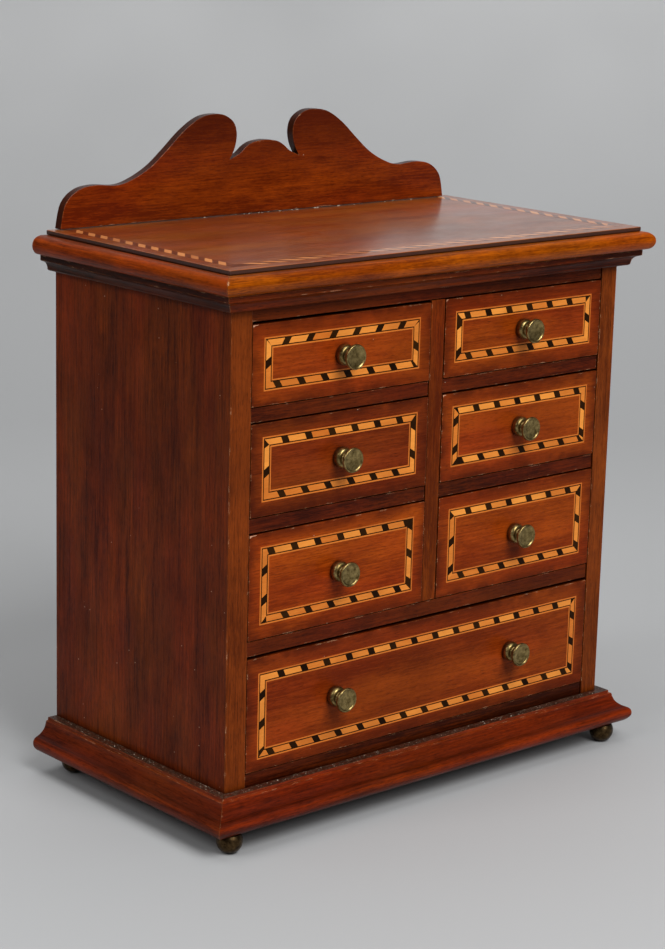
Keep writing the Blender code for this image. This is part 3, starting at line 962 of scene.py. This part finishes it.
def inlay(name, corners, place, widths, pitch, dark_length, slants, chance, back_run=True):
    """Banding round a rectangle: blocks of two woods on an ebony bed, between two boxwood lines.

    widths are those of the bed, of a line (none at 0) and of the blocks.
    """
    total, line, block = widths
    bm = bmesh.new()
    sunk, proud = -INLAY_SUNK, INLAY_PROUD
    for side, strip in enumerate(mitred_strips(corners, 0.0, total)):
        if side != BACK_RUN or back_run:
            prism(bm, strip, (sunk, proud * 0.4), place, 1)
    if line:
        for offset in (0.0, total - line):
            for strip in mitred_strips(corners, offset, line):
                prism(bm, strip, (sunk, proud), place, 2)
    for side, strip in enumerate(mitred_strips(corners, (total - block) / 2, block)):
        phase = chance.uniform(0.2, 1.0) * pitch
        if side == BACK_RUN and not back_run:
            continue
        for outline, dark in block_row(strip, pitch, dark_length, slants[side], phase):
            prism(bm, outline, (sunk, proud), place, 1 if dark else 0)
    return mesh_from(name, bm)


def add_drawer_banding(drawer, chance):
    """The inlaid rectangle on a drawer's front."""
    low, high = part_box(drawer + "_front")
    drop = WIDE_BAND_DROP if drawer == "drawer_wide" else 0.0
    corners = (
        (low.x + BAND_INSET, low.z + BAND_INSET - drop),
        (high.x - BAND_INSET, high.z - BAND_INSET + BAND_RAISE - drop),
    )

    def place(x, z, depth):
        return Vector((x, low.y - depth, z))

    top_lean = BLOCK_LEAN if drawer == "drawer_first_left" else -TOP_BLOCK_LEAN
    slants = (-BLOCK_LEAN, BLOCK_LEAN, top_lean, -BLOCK_LEAN)
    widths = (BAND_WIDTH, LINE_WIDTH, BLOCK_WIDTH)
    mesh = inlay(drawer + "_banding", corners, place, widths, BLOCK_PITCH, EBONY_LENGTH, slants, chance)
    add_piece(mesh.name, mesh, ("boxwood", "ebony", "line"), drawer)


def add_top_banding(low, high):
    """The rope banding let into the top panel along its front and ends, which run under the gallery."""
    chance = random.Random(ROPE_SEED)
    corners = ((low[0] + ROPE_INSET, low[1] + ROPE_INSET), (high[0] - ROPE_INSET, BACK - ROPE_BACK_GAP))

    def place(x, y, depth):
        return tapered((x, y, high[2] + depth), low, high)

    slants = (-ROPE_SLANT, -ROPE_SLANT, 0.0, -ROPE_SLANT)
    widths = (ROPE_WIDTH, 0.0, ROPE_WIDTH - ROPE_BED_SHOWING)
    mesh = inlay("top_banding", corners, place, widths, ROPE_PITCH, ROPE_DARK, slants, chance, False)
    add_piece("top_banding", mesh, ("faded_boxwood", "faded_ebony"), CASE)


def turned(name, profile, steps=48):
    """A turning about Z from (radius, height) points, top to bottom, both ends on the axis."""
    bm = bmesh.new()
    rings = []
    for radius, height in profile:
        if radius == 0.0:
            rings.append([bm.verts.new((0.0, 0.0, height))])
            continue
        angles = [2 * math.pi * step / steps for step in range(steps)]
        rings.append([bm.verts.new((radius * math.cos(a), radius * math.sin(a), height)) for a in angles])
    for ring, following in zip(rings, rings[1:]):
        for i in range(steps):
            j = (i + 1) % steps
            around = ((ring, i), (ring, j), (following, j), (following, i))
            corners = [row[k % len(row)] for row, k in around]
            bm.faces.new(list(dict.fromkeys(corners)))
    return mesh_from(name, bm, 40)


def knob_profile(radius, length):
    """Flat face inside a rolled rim, a waisted neck, and a domed collar at the drawer front."""
    face = [(0.0, length - 0.00050), (radius * 0.74, length - 0.00050), (radius * 0.80, length - 0.00042)]
    rim = smooth_run(
        (
            (radius * 0.80, length - 0.00042),
            (radius * 0.87, length - 0.00003),
            (radius * 0.95, length - 0.00010),
            (radius, length - 0.00085),
            (radius * 0.96, length - 0.0016),
            (radius * 0.84, length - 0.0021),
        )
    )
    neck = smooth_run(
        (
            (radius * 0.84, length - 0.0021),
            (radius * 0.58, length - 0.0033),
            (radius * 0.45, length - 0.0046),
            (radius * 0.50, length - 0.0054),
        )
    )
    collar = smooth_run(
        (
            (radius * 0.50, length - 0.0055),
            (radius * 0.70, length - 0.0060),
            (radius * 0.81, length - 0.0072),
            (radius * 0.82, length - 0.0084),
            (radius * 0.78, 0.0),
        )
    )
    return face + rim[1:] + neck[1:] + collar + [(0.0, 0.0)]


def add_knob(node, drawer, inner_face):
    """A turned brass knob in place of the plain one, with the nut that holds it inside the front."""
    low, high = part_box(node)
    centre = (low + high) / 2
    mesh = turned(node + "_turned", knob_profile((high.x - low.x) / 2, high.y - low.y))
    mesh.transform(tipped((centre.x, high.y, centre.z), 90))
    add_piece(mesh.name, mesh, "knob", drawer, (node,))
    nut = turned(node + "_nut", NUT, 24)
    nut.transform(tipped((centre.x, inner_face, centre.z), -90))
    add_piece(nut.name, nut, "steel", drawer)


def add_knobs():
    """The knobs of every drawer."""
    for drawer in DRAWERS:
        inner_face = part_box(drawer + "_front")[1].y
        for node in frame["record"]["behaviour"]["bodies"][drawer]:
            if "knob" in node:
                add_knob(node, drawer, inner_face)


def add_feet():
    """Ball feet, cut flat above and below."""
    for corner in ("front_left", "front_right", "back_left", "back_right"):
        node = "foot_" + corner
        low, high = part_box(node)
        radius, height = (high.x - low.x) / 2, high.z - low.z
        centre = radius - FOOT_FLAT
        upper = math.asin((height - centre) / radius)
        lower = math.asin(centre / radius)
        profile = [(0.0, height)]
        for step in range(FOOT_STEPS + 1):
            angle = upper - (upper + lower) * step / FOOT_STEPS
            profile.append((radius * math.cos(angle), centre + radius * math.sin(angle)))
        mesh = turned(node + "_turned", profile + [(0.0, 0.0)])
        middle = (low + high) / 2
        mesh.transform(Matrix.Translation((middle.x, middle.y, low.z)))
        add_piece(mesh.name, mesh, "foot", CASE, (node,))


def finish_board(node, key, arris):
    """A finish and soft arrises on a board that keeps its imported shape."""
    obj = frame["nodes"][node]
    obj.data.materials.clear()
    obj.data.materials.append(FINISH[key])
    soften(obj, arris)


def finish_cad_boards():
    """Finishes of the boards of the case and of the drawers."""
    case = {
        "left_side": "side",
        "right_side": "side_right",
        "back_panel": "back",
        "base_board": "rail",
        "case_top": "rail",
        "lower_shelf": "rail",
        "middle_shelf": "rail",
        "upper_shelf": "rail",
        "partition": "partition",
    }
    for node, key in case.items():
        finish_board(node, key, CASE_ARRIS)
    for drawer in DRAWERS:
        finish_board(drawer + "_front", drawer, FRONT_ARRIS)
        for part in ("side_left", "side_right"):
            finish_board(f"{drawer}_{part}", "lining_y", LINING_ARRIS)
        for part in ("back", "bottom"):
            finish_board(f"{drawer}_{part}", "lining_x", LINING_ARRIS)


def pin_outlines(deep, height):
    """Outlines of the pins down a drawer side, as (distance from the front, height)."""
    count = 3 if deep else 2
    for pin in range(count + 1):
        middle = pin * height / count
        shape = (
            (PIN_MARGIN, PIN_HALF_WIDE),
            (PIN_LENGTH, PIN_HALF_NARROW),
            (PIN_LENGTH, -PIN_HALF_NARROW),
            (PIN_MARGIN, -PIN_HALF_WIDE),
        )
        yield [(a, min(max(middle + b, PIN_MARGIN), height - PIN_MARGIN)) for a, b in shape]


def add_dovetails():
    """Dark pins of each front, seen between the tails at the front end of the drawer sides."""
    for drawer in DRAWERS:
        bm = bmesh.new()
        for side, out in (("side_left", -1.0), ("side_right", 1.0)):
            low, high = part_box(f"{drawer}_{side}")
            face = low.x if out < 0 else high.x

            def place(along, up, depth):
                return Vector((face + out * depth, low.y + along, low.z + up))

            height = high.z - low.z
            for outline in pin_outlines(height > DEEP_DRAWER, height):
                prism(bm, outline, (-INLAY_SUNK, INLAY_PROUD), place, 0)
        mesh = mesh_from(drawer + "_dovetails", bm)
        add_piece(mesh.name, mesh, "dovetail", drawer)


def add_chips():
    """Pale slivers where the varnish has chipped off the upper left corners of some fronts."""
    for drawer, length in CHIP_LENGTHS.items():
        low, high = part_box(drawer + "_front")
        corner = Vector((low.x + CHIP_INSET, low.y, high.z - CHIP_INSET))

        def place(along, up, depth):
            return corner + Vector((along, -depth, up))

        bm = bmesh.new()
        outline = [(share * length, up) for share, up in CHIP]
        prism(bm, outline, (-INLAY_SUNK, INLAY_PROUD), place, 0)
        mesh = mesh_from(drawer + "_chip", bm)
        add_piece(mesh.name, mesh, "chip", drawer)


def add_back_nails():
    """Small nail heads that hold the back panel."""
    low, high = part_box("back_panel")
    head = {"cap_ends": True, "segments": 16, "radius1": 0.0010, "radius2": 0.0008, "depth": 0.0003}
    pitch = (high.z - low.z - 2 * NAIL_END) / (NAILS - 1)
    bm = bmesh.new()
    for x in (low.x + NAIL_INSET, high.x - NAIL_INSET):
        for step in range(NAILS):
            made = bmesh.ops.create_cone(bm, **head)["verts"]
            place = (x, high.y - NAIL_DEPTH, low.z + NAIL_END + step * pitch)
            bmesh.ops.transform(bm, matrix=tipped(place, -90), verts=made)
    add_piece("back_nails", mesh_from("back_nails", bm, 30), "steel", CASE)


def add_stage():
    """A pale sweep: floor, curve and wall in one sheet, square to the camera."""
    bend = SWEEP_BEND
    section = [(SWEEP_NEAR, 0.0), (SWEEP_FAR - bend, 0.0)]
    for step in range(1, SWEEP_STEPS + 1):
        angle = math.radians(90 * step / SWEEP_STEPS)
        section.append((SWEEP_FAR - bend + bend * math.sin(angle), bend - bend * math.cos(angle)))
    section.append((SWEEP_FAR, SWEEP_HIGH))
    bm = bmesh.new()
    rows = []
    for y, z in section:
        rows.append([bm.verts.new((x, y, z)) for x in (-SWEEP_HALF_WIDTH, SWEEP_HALF_WIDTH)])
    for row, following in zip(rows, rows[1:]):
        bm.faces.new((row[0], row[1], following[1], following[0]))
    mesh = mesh_from("sweep", bm, 60)
    mesh.transform(Matrix.Rotation(-CAMERA_YAW, 4, "Z"))
    mesh.materials.append(plain_stage("sweep_paper", FLOOR_PAPER, PAINTED_LIT_WALL_PAPER, 0.9))
    sweep = bpy.data.objects.new("sweep", mesh)
    bpy.context.scene.collection.objects.link(sweep)


def add_area(name, place, aim, size, power):
    """A rectangular soft light at a place, turned to its aim."""
    data = bpy.data.lights.new(name, "AREA")
    data.shape = "RECTANGLE"
    data.size, data.size_y = size
    data.energy = power
    light = bpy.data.objects.new(name, data)
    light.location = place
    light.rotation_euler = (Vector(aim) - Vector(place)).to_track_quat("-Z", "Y").to_euler()
    bpy.context.scene.collection.objects.link(light)


def add_lights():
    """Soft studio light: a key and a fill in front, one overhead, one at the left, and a dim room."""
    aim = (0.0, 0.0, 0.15)
    add_area("key", (-0.12, -1.40, 1.75), aim, (1.1, 0.9), 32.0)
    add_area("overhead", (0.0, 0.15, 2.3), aim, (2.2, 2.2), 24.0)
    add_area("front", (-0.2, -2.1, 1.35), aim, (1.2, 0.8), 13.0)
    add_area("left", (-1.75, 0.1, 1.5), aim, (1.0, 1.0), 15.0)
    world = bpy.data.worlds.new("studio")
    world.use_nodes = True
    background = world.node_tree.nodes["Background"]
    background.inputs["Color"].default_value = (1.0, 1.0, 1.0, 1.0)
    background.inputs["Strength"].default_value = 0.07
    bpy.context.scene.world = world
    bpy.context.scene.view_settings.view_transform = "Standard"


def add_camera():
    """A long lens, turned to the right of +Y, tipped down and rolled a little."""
    forward = Vector(
        (
            math.sin(CAMERA_YAW) * math.cos(CAMERA_PITCH),
            math.cos(CAMERA_YAW) * math.cos(CAMERA_PITCH),
            -math.sin(CAMERA_PITCH),
        )
    )
    level = Vector((math.cos(CAMERA_YAW), -math.sin(CAMERA_YAW), 0.0))
    up = level.cross(forward)
    right = level * math.cos(CAMERA_ROLL) + up * math.sin(CAMERA_ROLL)
    up = up * math.cos(CAMERA_ROLL) - level * math.sin(CAMERA_ROLL)
    data = bpy.data.cameras.new("camera")
    data.sensor_fit = "HORIZONTAL"
    data.sensor_width = 36.0
    data.lens = data.sensor_width / FIELD_WIDTH
    data.clip_start = 0.05
    camera = bpy.data.objects.new("camera", data)
    turn = Matrix((right, up, -forward)).transposed().to_4x4()
    camera.matrix_world = Matrix.Translation(CAMERA_PLACE) @ turn
    bpy.context.scene.collection.objects.link(camera)
    bpy.context.scene.camera = camera


def main():
    """The camera, the light and every visible piece."""
    add_camera()
    add_lights()
    add_stage()
    finish_cad_boards()
    add_mouldings()
    add_top()
    add_gallery()
    add_glue()
    add_ledge_dust()
    chance = random.Random(BAND_SEED)
    for drawer in DRAWERS:
        add_drawer_banding(drawer, chance)
    add_knobs()
    add_feet()
    add_dovetails()
    add_chips()
    add_back_nails()


main()
bpy.context.view_layer.update()
